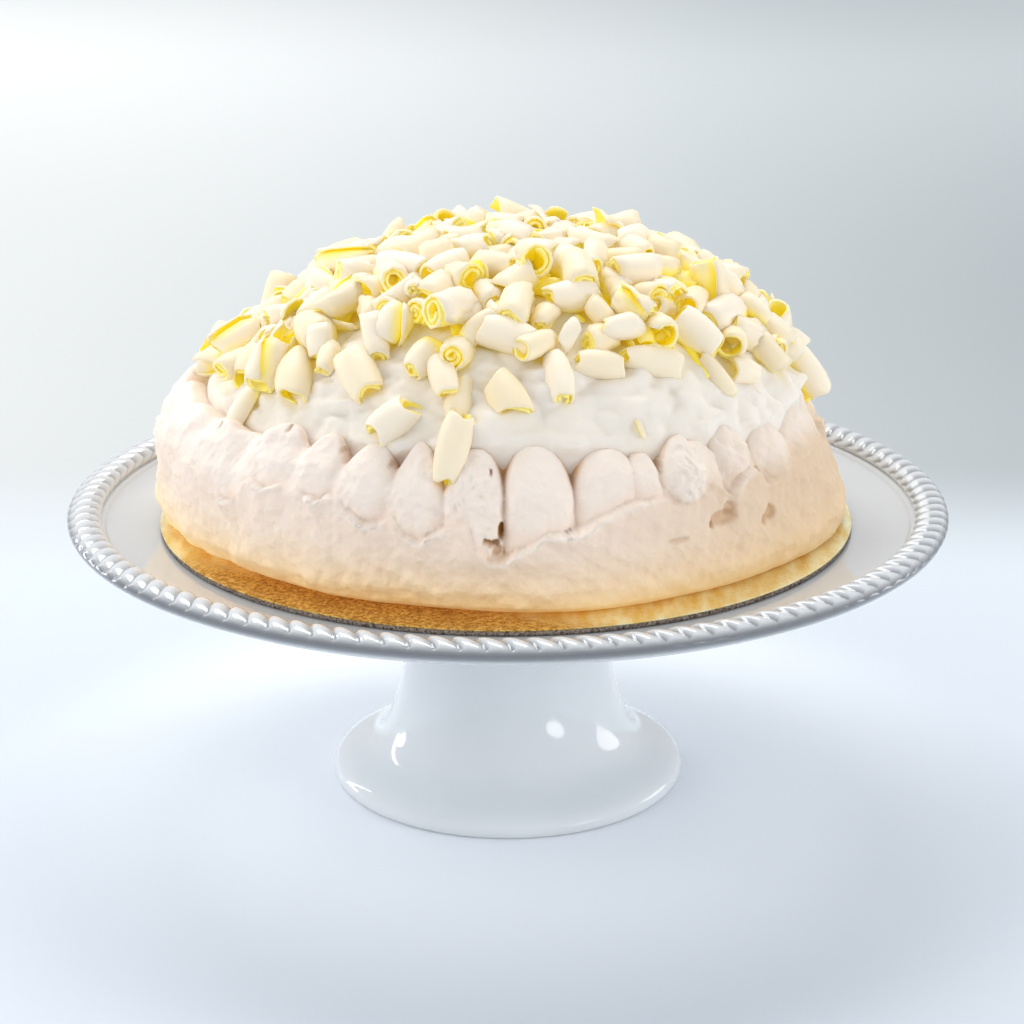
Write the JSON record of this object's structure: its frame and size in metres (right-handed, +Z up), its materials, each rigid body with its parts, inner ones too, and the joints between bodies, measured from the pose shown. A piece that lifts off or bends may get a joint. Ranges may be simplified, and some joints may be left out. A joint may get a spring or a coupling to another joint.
{
  "type": "vacherin cake",
  "caption": "Round vacherin cake on a gold card and a footed white cake stand: meringue case of piped kisses, whipped cream, heap of white chocolate curls.",
  "frame": {"origin": "on the table under the middle of the stand's foot, which is the bottom centre of the whole box", "axes": "+Z up, -Y towards the side shown in the picture, +X to that side's right"},
  "size_m": [0.32, 0.32, 0.2087],
  "materials": {
    "porcelain": "glossy white glaze",
    "gold_foil_card": "satin gold foil on grey board",
    "meringue": "matte, finely pored, pale pinkish cream",
    "whipped_cream": "soft satin white",
    "white_chocolate": "satin, pale cream yellow"
  },
  "bodies": {
    "root": {"cake_stand": "porcelain", "gold_card": "gold_foil_card", "meringue_case": "meringue", "whipped_cream": "whipped_cream", "curl_heap": "white_chocolate", "loose_curl_01": "white_chocolate", "loose_curl_02": "white_chocolate", "loose_curl_03": "white_chocolate", "loose_curl_04": "white_chocolate", "loose_curl_05": "white_chocolate", "loose_curl_06": "white_chocolate", "loose_curl_07": "white_chocolate", "loose_curl_08": "white_chocolate", "loose_curl_09": "white_chocolate", "loose_curl_10": "white_chocolate", "loose_curl_11": "white_chocolate", "loose_curl_12": "white_chocolate"}
  },
  "joints": []
}
